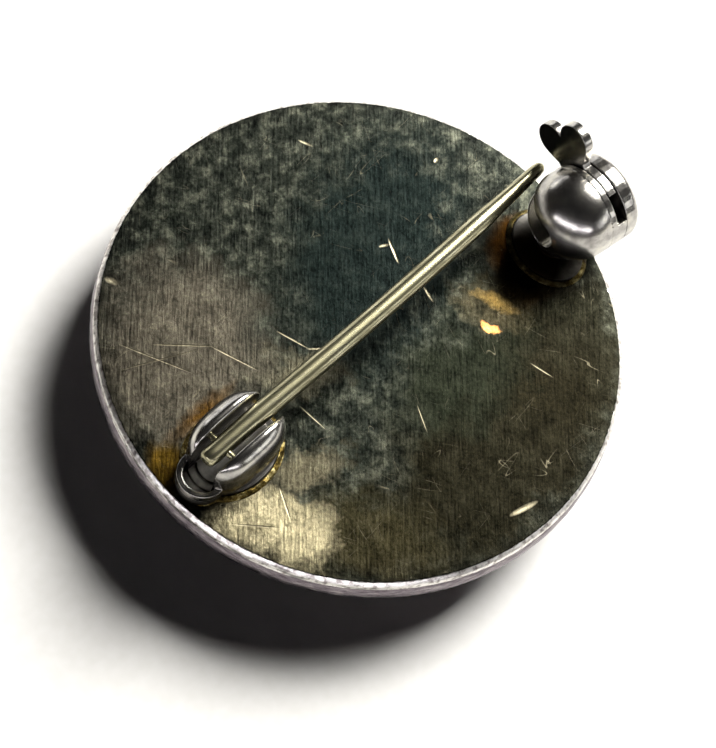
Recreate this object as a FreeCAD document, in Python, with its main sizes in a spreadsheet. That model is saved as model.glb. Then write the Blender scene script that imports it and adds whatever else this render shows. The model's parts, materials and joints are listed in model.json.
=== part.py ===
"""Round cabochon brooch, lying on its domed front with its back up.

Millimetres.  The origin is the centre of the back plate's outer face, +Z points out of the back,
and +X runs from the ball joint towards the safety catch.
"""
import FreeCAD, Part
import os
import Sketcher
from FreeCAD import Placement, Rotation, Vector

doc = FreeCAD.newDocument("Brooch")

# ---------------------------------------------------------------- driving dimensions
SIZES = {
    # back plate, bezel and domed front
    "plateRadius": 12.5,
    "plateThick": 0.5,
    "plateBevel": 0.25,
    "cardThick": 0.35,
    "cardGap": 0.1,
    "wallThick": 0.35,
    "wallFlare": 0.6,
    "wallDepth": 0.75,
    "lipThick": 0.2,
    "lipReach": 1.45,
    "stoneGap": 0.1,
    "lipGap": 0.04,
    "stoneGirdle": 0.6,
    "stoneDome": 4.2,
    "stoneGround": 1.05,
    # ball joint
    "jointInset": 3.4,
    "jointSide": 1.46,
    "jointTurn": 7.46,
    "cheekLong": 2.3,
    "cheekWide": 1.75,
    "cheekTall": 1.75,
    "rivetRise": 0.95,
    "slotWide": 1.55,
    "slotFloor": 0.45,
    "padThick": 0.35,
    "padMargin": 0.15,
    "lipRadius": 0.92,
    "lipWall": 0.3,
    "lipTall": 1.0,
    "lipBack": 2.05,
    "tailMargin": 0.05,
    # rivet and pin stem
    "stemRadius": 0.5,
    "rootRadius": 0.46,
    "rootLong": 2.6,
    "neckLong": 0.1,
    "rivetBack": 1.1,
    "rivetRadius": 0.35,
    "rivetSink": 0.3,
    "rivetGap": 0.04,
    "eyeGap": 0.08,
    "knuckleRadius": 1.0,
    "tongueThick": 0.7,
    "flexAhead": 0.5,
    "tipPast": 0.58,
    "taperLong": 3.6,
    "taperRadius": 0.3,
    "pointLong": 0.75,
    "pointRadius": 0.08,
    # safety catch
    "catchInset": 1.02,
    "catchSide": 1.67,
    "barrelRadius": 2.32,
    "barrelStand": 0.33,
    "mouthRadius": 0.69,
    "openingWide": 1.24,
    "leverAhead": 0.68,
    "leverThick": 0.48,
    "leverGap": 0.06,
    "collarLong": 0.96,
    "collarRound": 0.45,
    "sleeveRadius": 1.42,
    "sleeveBore": 0.78,
    "sleeveLong": 1.8,
    "sleeveGap": 0.06,
    "catchPadLong": 1.6,
    "catchPadWide": 2.05,
    "catchPadBack": 1.0,
    "catchPadThick": 0.3,
    "pedestalRadius": 1.0,
    "pedestalBack": 0.45,
    # heart-shaped lever
    "leverLean": 38.0,
    "leverTurn": 38.0,
    "shoulderEnd": 111.0,
    "shoulderInset": 0.05,
    "neckHalf": 0.95,
    "neckReach": 2.3,
    "lobeReach": 3.55,
    "lobeApart": 0.88,
    "lobeRadius": 0.9,
    "windowBelow": 15.5,
    "windowSpare": 1.0,
    # solder
    "solderWide": 0.28,
    "solderDome": 0.45,
}

sheet = doc.addObject("Spreadsheet::Sheet", "Sizes")
for row, (name, value) in enumerate(SIZES.items(), start=1):
    sheet.set("A%d" % row, name)
    sheet.set("B%d" % row, str(value))
    sheet.setAlias("B%d" % row, name)
doc.recompute()


# ---------------------------------------------------------------- helpers
def bind(thing, **expressions):
    """Tie properties of an object to the sheet; a size's name in braces stands for its cell."""
    for prop, words in expressions.items():
        thing.setExpression(prop.replace("__", "."), cells(words))
    return thing


def cells(words):
    """Turn {name} into the sheet's cell of that name."""
    return words.replace("{", "Sizes.").replace("}", "")


def reading(words):
    """What an expression of the sheet comes to, as a plain number."""
    return float(sheet.evalExpression(cells(words)))


def primitive(kind, name, x="0", y="0", z="0", axis=None, turn="0", **expressions):
    """A Part primitive whose sizes and place are expressions; axis and turn set its direction."""
    thing = doc.addObject("Part::" + kind, name)
    bind(thing, **expressions)
    if axis is not None:
        thing.Placement = Placement(Vector(), Rotation(axis, reading(turn)))
        if "{" in turn:
            bind(thing, Placement__Rotation__Angle=turn)
    bind(thing, Placement__Base__x=x, Placement__Base__y=y, Placement__Base__z=z)
    return thing


def fuse(name, *shapes):
    """One solid of several that overlap."""
    thing = doc.addObject("Part::MultiFuse", name)
    thing.Shapes = list(shapes)
    thing.Refine = True
    return thing


def cut(name, base, *tools):
    """A solid with one or more tools taken out of it."""
    thing = doc.addObject("Part::Cut", name)
    thing.Base = base
    thing.Tool = tools[0] if len(tools) == 1 else fuse(name + "_tools", *tools)
    thing.Refine = True
    return thing


def common(name, *shapes):
    """What several solids share."""
    thing = doc.addObject("Part::MultiCommon", name)
    thing.Shapes = list(shapes)
    return thing


def place(thing, label, x="0", y="0", z="0", turn="0"):
    """Give a finished sub-part its label, and its place and turn about +Z."""
    thing.Label = label
    thing.Placement = Placement(Vector(), Rotation(Vector(0, 0, 1), reading(turn)))
    bind(thing, Placement__Rotation__Angle=turn)
    bind(thing, Placement__Base__x=x, Placement__Base__y=y, Placement__Base__z=z)
    return thing


def body_plane(body, role):
    """One of a body's own origin planes."""
    return next(item for item in body.Origin.OriginFeatures if item.Role == role)


def outline(body, name, role, corners):
    """A closed sketch of straight sides, each corner held by two expressions."""
    sketch = body.newObject("Sketcher::SketchObject", name)
    sketch.AttachmentSupport = [(body_plane(body, role), "")]
    sketch.MapMode = "FlatFace"
    points = [Vector(reading(across), reading(along), 0) for across, along in corners]
    for here, there in zip(points, points[1:] + points[:1]):
        sketch.addGeometry(Part.LineSegment(here, there), False)
    last = len(points) - 1
    for number in range(len(points)):
        sketch.addConstraint(Sketcher.Constraint("Coincident", number, 1, (number - 1) % (last + 1), 2))
    for number, words in enumerate(corners):
        for kind, word, spot in zip(("DistanceX", "DistanceY"), words, points[number]):
            held = sketch.addConstraint(Sketcher.Constraint(kind, -1, 1, number, 1, spot))
            sketch.setExpression("Constraints[%d]" % held, cells(word))
    return sketch


def ring(body, name, role, radius):
    """A sketch of one circle about the body's origin."""
    sketch = body.newObject("Sketcher::SketchObject", name)
    sketch.AttachmentSupport = [(body_plane(body, role), "")]
    sketch.MapMode = "FlatFace"
    sketch.addGeometry(Part.Circle(Vector(), Vector(0, 0, 1), reading(radius)), False)
    sketch.addConstraint(Sketcher.Constraint("Coincident", 0, 3, -1, 1))
    held = sketch.addConstraint(Sketcher.Constraint("Radius", 0, reading(radius)))
    sketch.setExpression("Constraints[%d]" % held, cells(radius))
    return sketch


def outline_circle(body, name, role, across, along_words, radius):
    """A sketch of one circle whose middle is held by two expressions."""
    sketch = body.newObject("Sketcher::SketchObject", name)
    sketch.AttachmentSupport = [(body_plane(body, role), "")]
    sketch.MapMode = "FlatFace"
    middle = Vector(reading(across), reading(along_words), 0)
    sketch.addGeometry(Part.Circle(middle, Vector(0, 0, 1), reading(radius)), False)
    for kind, words, spot in (("DistanceX", across, middle.x), ("DistanceY", along_words, middle.y)):
        held = sketch.addConstraint(Sketcher.Constraint(kind, -1, 1, 0, 3, spot))
        sketch.setExpression("Constraints[%d]" % held, cells(words))
    held = sketch.addConstraint(Sketcher.Constraint("Radius", 0, reading(radius)))
    sketch.setExpression("Constraints[%d]" % held, cells(radius))
    return sketch


def edge_at(feature, test):
    """The name of the first edge of a feature whose middle passes a test."""
    for number, edge in enumerate(feature.Shape.Edges, start=1):
        if test(edge):
            return "Edge%d" % number
    raise RuntimeError("no such edge on " + feature.Label)


ACROSS = Vector(1, 0, 0)
OVER = Vector(0, 1, 0)


# ---------------------------------------------------------------- back plate, bezel and front
def back_plate():
    """Round sheet whose outer edge is filed to a bevel on the back."""
    body = doc.addObject("PartDesign::Body", "BackPlate")
    pad = body.newObject("PartDesign::Pad", "PlatePad")
    pad.Profile = ring(body, "PlateRing", "XY_Plane", "{plateRadius}")
    pad.Reversed = True
    bind(pad, Length="{plateThick}")
    doc.recompute()
    bevel = body.newObject("PartDesign::Chamfer", "PlateBevel")
    top = edge_at(pad, lambda edge: abs(edge.CenterOfMass.z) < 1e-6)
    bevel.Base = (pad, [top])
    bind(bevel, Size="{plateBevel}")
    return place(body, "back_plate")


STONE_RADIUS = "({plateRadius} - {wallThick} - {plateBevel} / 5 - {stoneGap})"
CARD_BACK = "(-{plateThick} - {cardThick})"
STONE_LOWEST = "(" + CARD_BACK + " - {stoneGirdle} - {stoneDome} + {stoneGround})"
DOME_RADIUS = "((" + STONE_RADIUS + "^2 + {stoneDome}^2) / (2 * {stoneDome}))"
DOME_MIDDLE = "(" + STONE_LOWEST + " - {stoneGround} + " + DOME_RADIUS + ")"


def bezel():
    """Rim wall under the plate: it flares outwards, then its edge is pressed in over the stone."""
    body = doc.addObject("PartDesign::Body", "Bezel")
    outer_top = "{plateRadius} - {plateBevel} / 5"
    outer_wide = outer_top + " + {wallFlare}"
    lip_tip = outer_wide + " - {lipReach}"
    top = "-{plateThick}"
    wide = "-{plateThick} - {wallDepth}"
    dome_there = DOME_MIDDLE + " - sqrt(" + DOME_RADIUS + "^2 - (" + lip_tip + ")^2)"
    lip_inner = dome_there + " - {lipGap}"
    lip_outer = lip_inner + " - {lipThick}"
    profile = outline(body, "BezelProfile", "XZ_Plane", [
        (outer_top, top),
        (outer_wide + " - {wallFlare} * 0.1", wide + " + {wallDepth} * 0.25"),
        (outer_wide, wide),
        (outer_wide + " - {wallFlare} * 0.1", wide + " - {lipThick}"),
        (outer_wide + " - {lipReach} * 0.3", lip_outer + " + {lipThick} * 0.4"),
        (lip_tip + " + {lipThick}", lip_outer),
        (lip_tip, lip_outer + " + {lipThick} * 0.4"),
        (lip_tip, lip_inner),
        (outer_wide + " - {wallThick}", wide + " - {lipThick}"),
        (outer_wide + " - {wallThick}", wide),
        (outer_top + " - {wallThick}", top),
    ])
    turned = body.newObject("PartDesign::Revolution", "BezelTurned")
    turned.Profile = profile
    turned.ReferenceAxis = (profile, ["V_Axis"])
    turned.Angle = 360.0
    return place(body, "bezel")


def stone():
    """Flat-backed disc whose girdle runs into a dome with its top ground flat."""
    blank = primitive("Cylinder", "StoneBlank", z=STONE_LOWEST, Radius=STONE_RADIUS,
                      Height="{stoneGirdle} + {stoneDome} - {stoneGround}")
    ball = primitive("Sphere", "StoneBall", z=DOME_MIDDLE, Radius=DOME_RADIUS)
    return place(common("Stone", blank, ball), "stone")


def backing_card():
    """Packing disc between the stone's flat back and the plate."""
    card = primitive("Cylinder", "BackingCard", Radius=STONE_RADIUS + " - {cardGap}",
                     Height="{cardThick}")
    return place(card, "backing_card", z=CARD_BACK)


# ---------------------------------------------------------------- ball joint
STEM_HEIGHT = "({barrelRadius} + {barrelStand})"
CHEEK_MID = "(" + STEM_HEIGHT + " - {rivetRise})"
JOINT_AT = {"x": "{jointInset} - {plateRadius}", "y": "-{jointSide}", "turn": "{jointTurn}"}
PLATE_FLAT = "({plateRadius} - {plateBevel})"


def elliptic_post(name, long_half, wide_half, height):
    """An upright post with an elliptical outline, standing on the plate."""
    body = doc.addObject("PartDesign::Body", name)
    sketch = body.newObject("Sketcher::SketchObject", name + "Outline")
    sketch.AttachmentSupport = [(body_plane(body, "XY_Plane"), "")]
    sketch.MapMode = "FlatFace"
    tip = Vector(reading(long_half), 0, 0)
    side = Vector(0, reading(wide_half), 0)
    wide_is_major = side.Length > tip.Length
    major, minor = (side, tip) if wide_is_major else (tip, side)
    sketch.addGeometry(Part.Ellipse(major, minor, Vector()), False)
    sketch.exposeInternalGeometry(0)
    sketch.addConstraint(Sketcher.Constraint("Coincident", 0, 3, -1, 1))
    held_by = -2 if wide_is_major else -1
    sketch.addConstraint(Sketcher.Constraint("PointOnObject", 1, 1, held_by))
    major_words, minor_words = (wide_half, long_half) if wide_is_major else (long_half, wide_half)
    for line, words in ((1, major_words), (2, minor_words)):
        held = sketch.addConstraint(Sketcher.Constraint("Distance", line, 2 * reading(words)))
        sketch.setExpression("Constraints[%d]" % held, cells("2 * (" + words + ")"))
    pad = body.newObject("PartDesign::Pad", name + "Pad")
    pad.Profile = sketch
    bind(pad, Length=height)
    return body


def solder_mound(name, long_half, wide_half, x="0"):
    """A low dome of solder that reaches a little beyond a foot."""
    return primitive("Ellipsoid", name, x=x, Radius1="{solderDome}", Radius2=long_half + " + {solderWide}",
                     Radius3=wide_half + " + {solderWide}")


def joint_foot(name, height="{padThick}"):
    """The ball joint's pad: an ellipse with a round tail under the lip."""
    main = elliptic_post(name + "Main", "{cheekLong} + {padMargin}", "{cheekWide} + {padMargin}", height)
    tail = primitive("Cylinder", name + "Tail", x="-{lipBack}", Radius="{lipRadius} + {tailMargin}",
                     Height=height)
    return fuse(name, main, tail)


def cheek_dome():
    """The upper half of an egg lying along the slot, which the slot parts into two cheeks."""
    egg = primitive("Ellipsoid", "CheekEgg", z=CHEEK_MID, Radius1="{cheekTall}",
                    Radius2="{cheekLong}", Radius3="{cheekWide}")
    egg.Angle1 = 0
    return egg


def across_slot(name, half, radius):
    """A round bar on the rivet's axis, across the joint's slot."""
    return primitive("Cylinder", name, x="-{rivetBack}", y=half, z=STEM_HEIGHT, axis=ACROSS, turn="90",
                     Radius=radius, Height=half + " * 2")


def stem_cone(name, start, length, first, last):
    """A tapering round bar on the stem's axis."""
    return primitive("Cone", name, x=start, z=STEM_HEIGHT, axis=OVER, turn="90", Radius1=first,
                     Radius2=last, Height=length)


def joint_ball():
    """Two domed cheeks with a slot between, a U-shaped lip behind them and a pad below."""
    skirt = elliptic_post("CheekSkirt", "{cheekLong}", "{cheekWide}", CHEEK_MID)
    lip = primitive("Cylinder", "LipOuter", x="-{lipBack}", Radius="{lipRadius}", Height="{lipTall}")
    slot = primitive("Box", "CheekSlot", x="-{cheekLong} * 2", y="-{slotWide} / 2", z="{lipTall}",
                     Length="{cheekLong} * 4", Width="{slotWide}", Height="{cheekTall} * 3")
    trench = primitive("Box", "CheekTrench", x="-{lipBack}", y="-{slotWide} / 2", z="{slotFloor}",
                       Length="{lipBack} + {cheekLong} * 2", Width="{slotWide}", Height="{cheekTall}")
    hollow = primitive("Cylinder", "LipHollow", x="-{lipBack}", z="{slotFloor}",
                       Radius="{lipRadius} - {lipWall}", Height="{lipTall} * 2")
    bore = across_slot("RivetBore", "({slotWide} / 2 + {rivetSink})", "{rivetRadius} + {rivetGap}")
    solid = fuse("JointSolid", cheek_dome(), skirt, lip, joint_foot("JointFoot"))
    return place(cut("JointBall", solid, slot, trench, hollow, bore), "joint_ball", **JOINT_AT)


def joint_rivet():
    """Plain rivet across the slot, its ends blind in the two cheeks."""
    body = doc.addObject("PartDesign::Body", "JointRivet")
    section = outline_circle(body, "RivetSection", "XZ_Plane", "-{rivetBack}", STEM_HEIGHT,
                             "{rivetRadius}")
    pad = body.newObject("PartDesign::Pad", "RivetPad")
    pad.Profile = section
    pad.Midplane = True
    bind(pad, Length="{slotWide} + 2 * ({rivetSink} - {rivetGap})")
    return place(body, "joint_rivet", **JOINT_AT)


def joint_solder():
    """Solder drawn round the ball joint's foot, kept to the flat of the plate."""
    main = solder_mound("JointSolderMain", "{cheekLong} + {padMargin}", "{cheekWide} + {padMargin}")
    tail = solder_mound("JointSolderTail", *["{lipRadius} + {tailMargin}"] * 2, x="-{lipBack}")
    mound = place(fuse("JointSolderMound", main, tail), "joint_mound", **JOINT_AT)
    foot = place(joint_foot("JointSolderFoot", "{solderDome} * 2"), "joint_mound_foot", **JOINT_AT)
    flat = primitive("Cylinder", "JointSolderFlat", Radius=PLATE_FLAT, Height="{solderDome}")
    return place(cut("JointSolder", common("JointSolderOnPlate", mound, flat), foot), "joint_solder")


# ---------------------------------------------------------------- pin stem
CATCH_X = "({plateRadius} - {catchInset})"
PIVOT_X = "({jointInset} - {plateRadius} + {flexAhead} * cos({jointTurn} * 1deg))"
PIVOT_Y = "(-{jointSide} + {flexAhead} * sin({jointTurn} * 1deg))"
TO_CATCH_X = "(" + CATCH_X + " - " + PIVOT_X + ")"
TO_CATCH_Y = "(-{catchSide} - " + PIVOT_Y + ")"
PIN_LONG = "(sqrt(" + TO_CATCH_X + "^2 + " + TO_CATCH_Y + "^2) + {tipPast})"
CATCH_TURN = "(atan(" + TO_CATCH_Y + " / " + TO_CATCH_X + ") / 1deg)"


def pin_stem():
    """Sprung wire with a flattened, pierced knuckle, a filed root and a long taper to its point."""
    tip = "({flexAhead} + " + PIN_LONG + ")"
    taper = "(" + tip + " - {pointLong} - {taperLong})"
    start = "({knuckleRadius} + {neckLong} - {rivetBack})"
    root = stem_cone("StemRoot", start, "{rootLong} - " + start, "{rootRadius}", "{stemRadius}")
    wire = primitive("Cylinder", "StemWire", x="{rootLong}", z=STEM_HEIGHT, axis=OVER, turn="90",
                     Radius="{stemRadius}", Height=taper + " - {rootLong}")
    thinning = stem_cone("StemTaper", taper, "{taperLong}", "{stemRadius}", "{taperRadius}")
    point = stem_cone("StemPoint", tip + " - {pointLong}", "{pointLong}", "{taperRadius}", "{pointRadius}")
    knuckle = across_slot("StemKnuckle", "{tongueThick} / 2", "{knuckleRadius}")
    neck = primitive("Box", "StemNeck", x="-{rivetBack}", y="-{tongueThick} / 2",
                     z=STEM_HEIGHT + " - {rootRadius}", Length="{knuckleRadius} + {neckLong}",
                     Width="{tongueThick}", Height="{rootRadius} * 2")
    eye = across_slot("StemEye", "{tongueThick}", "{rivetRadius} + {eyeGap}")
    solid = fuse("StemSolid", root, wire, thinning, point, knuckle, neck)
    return place(cut("PinStem", solid, eye), "pin_stem", **JOINT_AT)


# ---------------------------------------------------------------- safety catch
# These pieces are drawn about the barrel's axis, with the origin at the middle of the ball.
CATCH_AT = {"x": CATCH_X, "y": "-{catchSide}", "z": STEM_HEIGHT, "turn": CATCH_TURN}
SLOT_FROM = "{leverAhead}"
SLOT_WIDE = "({leverThick} + 2 * {leverGap})"
SLOT_TO = "({leverAhead} + " + SLOT_WIDE + ")"
SLEEVE_FROM = "(" + SLOT_TO + " - {leverGap} - {sleeveLong} - {leverThick})"


def along(name, start, length, radius):
    """A round bar on the barrel's axis."""
    return primitive("Cylinder", name, x=start, axis=OVER, turn="90", Radius=radius, Height=length)


def wedge(name, start, length, first, last, reach):
    """A slice between two angles about the barrel's axis, counted from +Y towards +Z."""
    body = doc.addObject("PartDesign::Body", name)
    corners = [("0", "0")]
    for step in range(4):
        angle = "((%s) + ((%s) - (%s)) * %d / 3) * 1deg" % (first, last, first, step)
        corners.append(("%s * cos(%s)" % (reach, angle), "%s * sin(%s)" % (reach, angle)))
    pad = body.newObject("PartDesign::Pad", name + "Pad")
    pad.Profile = outline(body, name + "Outline", "YZ_Plane", corners)
    bind(pad, Length=length)
    bind(body, Placement__Base__x=start)
    return body


def side_opening(name, reach):
    """The gap by which the pin enters from +Y, cut right along the piece."""
    return primitive("Box", name, x="-{barrelRadius} * 2", y="0", z="-{openingWide} / 2",
                     Length="{barrelRadius} * 4", Width=reach, Height="{openingWide}")


def catch_ball():
    """Ball-nosed barrel, open to the side, with a window for the lever, on a post and a pad."""
    ball = primitive("Sphere", "CatchNose", Radius="{barrelRadius}")
    barrel = along("CatchBarrel", "0", "{barrelRadius}", "{barrelRadius}")
    post = primitive("Cylinder", "CatchPost", x="-{pedestalBack}", z="-" + STEM_HEIGHT,
                     Radius="{pedestalRadius}", Height=STEM_HEIGHT + " - {sleeveRadius} - {sleeveGap}")
    pad = elliptic_post("CatchPad", "{catchPadLong}", "{catchPadWide}", "{catchPadThick}")
    bind(pad, Placement__Base__x="-{catchPadBack}", Placement__Base__z="-" + STEM_HEIGHT)
    solid = fuse("CatchSolid", ball, barrel, post, pad)
    behind = primitive("Box", "CatchBehind", x=SLOT_TO, y="-{barrelRadius} * 2", z="-{barrelRadius} * 2",
                       Length="{barrelRadius} * 2", Width="{barrelRadius} * 4",
                       Height="{barrelRadius} * 4")
    chamber = along("CatchChamber", SLEEVE_FROM + " - {sleeveGap}", "{barrelRadius} * 3",
                    "{sleeveRadius} + {sleeveGap}")
    mouth = along("CatchMouth", "-{barrelRadius} * 1.5", "{barrelRadius} * 2", "{mouthRadius}")
    window = wedge("CatchWindow", SLOT_FROM, SLOT_WIDE + " + {barrelRadius}", "-{windowBelow}",
                   "{shoulderEnd} + {leverTurn} + {windowSpare}", "({barrelRadius} * 2)")
    opening = side_opening("CatchOpening", "{barrelRadius} * 2")
    return place(cut("CatchBall", solid, behind, chamber, mouth, window, opening), "catch_ball",
                 **CATCH_AT)


def catch_collar():
    """Domed ring that closes the barrel behind the lever."""
    body = doc.addObject("PartDesign::Body", "CatchCollar")
    pad = body.newObject("PartDesign::Pad", "CollarPad")
    pad.Profile = ring(body, "CollarRing", "YZ_Plane", "{barrelRadius}")
    bind(pad, Length="{collarLong}")
    doc.recompute()
    rounded = body.newObject("PartDesign::Fillet", "CollarRounded")
    far = edge_at(pad, lambda edge: abs(edge.CenterOfMass.x - reading("{collarLong}")) < 1e-6)
    rounded.Base = (pad, [far])
    bind(rounded, Radius="{collarRound}")
    bind(body, Placement__Base__x=SLOT_TO)
    trimmed = common("CatchCollarPiece", body, along("CollarBlank", SLOT_TO, "{collarLong}",
                                                     "{barrelRadius} * 2"))
    return place(trimmed, "catch_collar", **CATCH_AT)


def heart(name, start, length):
    """Heart-shaped tab on a neck, drawn along +Y and leaned over towards +Z."""
    body = doc.addObject("PartDesign::Body", name + "Heart")
    tangent_along = "({lobeReach} - {lobeRadius} * 0.574)"
    tangent_out = "({lobeApart} + {lobeRadius} * 0.819)"
    corners = [
        ("{sleeveRadius}", "-{neckHalf}"),
        ("{neckReach}", "-{neckHalf}"),
        (tangent_along, "-" + tangent_out),
        ("{lobeReach}", "-{lobeApart}"),
        ("{lobeReach}", "{lobeApart}"),
        (tangent_along, tangent_out),
        ("{neckReach}", "{neckHalf}"),
        ("{sleeveRadius}", "{neckHalf}"),
    ]
    pad = body.newObject("PartDesign::Pad", name + "HeartPad")
    pad.Profile = outline(body, name + "HeartOutline", "YZ_Plane", corners)
    bind(pad, Length=length)
    lobes = []
    for side in (-1, 1):
        lobe = primitive("Cylinder", name + "Lobe%d" % (side + 1), y="{lobeReach}",
                         z="%d * {lobeApart}" % side, axis=OVER, turn="90",
                         Radius="{lobeRadius}", Height=length)
        lobes.append(lobe)
    whole = fuse(name + "HeartWhole", body, *lobes)
    whole.Placement = Placement(Vector(), Rotation(ACROSS, reading("{leverLean}")))
    bind(whole, Placement__Rotation__Angle="{leverLean}", Placement__Base__x=start)
    return whole


def rotor_lever():
    """Turning sleeve with a side gap, a thumb plate in the window and its heart-shaped tab."""
    plate_from = SLOT_FROM + " + {leverGap}"
    sleeve = along("RotorSleeve", SLEEVE_FROM, "{sleeveLong} + {leverThick}", "{sleeveRadius}")
    disc = along("RotorDisc", plate_from, "{leverThick}", "{barrelRadius} - {shoulderInset}")
    slice_of_it = wedge("RotorSlice", plate_from, "{leverThick}", "0", "{shoulderEnd}",
                        "({barrelRadius} * 2)")
    shoulder = common("RotorShoulder", disc, slice_of_it)
    solid = fuse("RotorSolid", sleeve, shoulder, heart("Rotor", plate_from, "{leverThick}"))
    bore = along("RotorBore", "-{barrelRadius} * 2", "{barrelRadius} * 4", "{sleeveBore}")
    gap = side_opening("RotorGap", "{sleeveRadius} + {sleeveGap}")
    return place(cut("RotorLever", solid, bore, gap), "rotor_lever", **CATCH_AT)


def catch_solder():
    """Solder drawn round the catch's pad, kept to the flat of the plate."""
    turn_angle = "(" + CATCH_TURN + " * 1deg)"
    middle = {
        "x": CATCH_X + " - {catchPadBack} * cos" + turn_angle,
        "y": "-{catchSide} - {catchPadBack} * sin" + turn_angle,
        "turn": CATCH_TURN,
    }
    mound = solder_mound("CatchSolderDome", "{catchPadLong}", "{catchPadWide}")
    foot = elliptic_post("CatchSolderPost", "{catchPadLong}", "{catchPadWide}", "{solderDome} * 2")
    place(mound, "catch_mound", **middle)
    place(foot, "catch_mound_foot", **middle)
    flat = primitive("Cylinder", "CatchSolderFlat", Radius=PLATE_FLAT, Height="{solderDome}")
    return place(cut("CatchSolder", common("CatchSolderOnPlate", mound, flat), foot), "catch_solder")


# ---------------------------------------------------------------- build, check and write
made = [
    back_plate(),
    bezel(),
    stone(),
    backing_card(),
    joint_ball(),
    joint_rivet(),
    joint_solder(),
    pin_stem(),
    catch_ball(),
    catch_collar(),
    rotor_lever(),
    catch_solder(),
]
doc.recompute()

for thing in doc.Objects:
    if "Invalid" in thing.State or "Error" in thing.State:
        raise RuntimeError("%s did not build: %s" % (thing.Name, thing.State))

os.makedirs("parts", exist_ok=True)
for thing in made:
    shape = thing.Shape
    if shape.isNull() or not shape.isValid() or len(shape.Solids) != 1:
        raise RuntimeError("%s is not one valid solid" % thing.Label)
    shape.exportStep("parts/%s.step" % thing.Label)
    print("%-14s %9.3f mm3" % (thing.Label, shape.Volume))
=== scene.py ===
# %% [markdown]
# # The back of a round cabochon brooch
# A disc of silver sheet closes the back of a bezel that holds a domed onyx. On the disc stand the two
# bought-in fittings of a brooch: a ball joint with its pin stem, and a safety catch with its little
# heart-shaped lever. The sizes come from the CAD frame, which this script loads first. Everything added
# here is about how light meets each piece: rounded edges, polish, tarnish, solder and scratches.

# %% Load the CAD frame
import json
import math

import bmesh
import bpy
from mathutils import Matrix, Vector, noise


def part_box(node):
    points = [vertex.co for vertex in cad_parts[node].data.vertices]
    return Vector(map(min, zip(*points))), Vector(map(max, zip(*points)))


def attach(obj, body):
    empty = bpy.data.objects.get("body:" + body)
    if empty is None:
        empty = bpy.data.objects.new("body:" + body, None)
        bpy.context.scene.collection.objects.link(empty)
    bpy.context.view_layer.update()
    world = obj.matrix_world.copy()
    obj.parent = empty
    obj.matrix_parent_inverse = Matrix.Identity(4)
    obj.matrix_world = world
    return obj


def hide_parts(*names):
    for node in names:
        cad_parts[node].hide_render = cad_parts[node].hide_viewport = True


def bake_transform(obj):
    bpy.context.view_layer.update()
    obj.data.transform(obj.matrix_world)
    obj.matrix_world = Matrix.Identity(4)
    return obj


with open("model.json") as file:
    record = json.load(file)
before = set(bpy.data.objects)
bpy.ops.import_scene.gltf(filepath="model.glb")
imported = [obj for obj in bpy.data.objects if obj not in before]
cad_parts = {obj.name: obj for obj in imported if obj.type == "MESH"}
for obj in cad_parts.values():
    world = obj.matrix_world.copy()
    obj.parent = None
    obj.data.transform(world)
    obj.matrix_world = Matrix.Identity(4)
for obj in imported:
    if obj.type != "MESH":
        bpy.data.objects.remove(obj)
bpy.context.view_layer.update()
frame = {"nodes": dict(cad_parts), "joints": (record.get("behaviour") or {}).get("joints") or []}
MM = 0.001

# %% [markdown]
# ## One way to write colours, and one way to add nodes
# A colour is chosen on a screen, so it is written as the screen's own hex value. Blender shades
# in linear light, so one function converts it. A second function adds a shader node, sets it and
# links it. Every material below is then a short list of what is mixed with what.

# %% Colours and nodes
def linear(screen_colour):
    """The linear RGBA of a screen colour such as #a0a0a0."""
    shares = [int(screen_colour[i:i + 2], 16) / 255 for i in (1, 3, 5)]
    return tuple(s / 12.92 if s <= 0.04045 else ((s + 0.055) / 1.055) ** 2.4 for s in shares) + (1.0,)


def add(tree, kind, sockets=None, stops=None, **settings):
    """Adds one node. A socket's value is a number, a colour or another node's output to link."""
    node = tree.nodes.new(kind)
    node.location = (len(tree.nodes) * 190, 0)
    for setting, value in settings.items():
        setattr(node, setting, value)
    if stops:
        ramp = node.color_ramp
        while len(ramp.elements) < len(stops):
            ramp.elements.new(0.5)
        for element, (position, screen_colour) in zip(ramp.elements, stops):
            element.position, element.color = position, linear(screen_colour)
    for socket, value in (sockets or {}).items():
        if isinstance(value, bpy.types.NodeSocket):
            tree.links.new(value, node.inputs[socket])
        else:
            node.inputs[socket].default_value = value
    return node


def new_material(name):
    """An empty material, and the place in millimetres that its patterns are drawn from."""
    material = bpy.data.materials.new(name)
    material.use_nodes = True
    tree = material.node_tree
    tree.nodes.clear()
    place = add(tree, "ShaderNodeTexCoord").outputs["Object"]
    scale = add(tree, "ShaderNodeMapping", {"Vector": place, "Scale": (1 / MM,) * 3})
    return material, tree, scale.outputs["Vector"]


print("#808080 in linear light:", [round(c, 3) for c in linear("#808080")[:3]])
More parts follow.
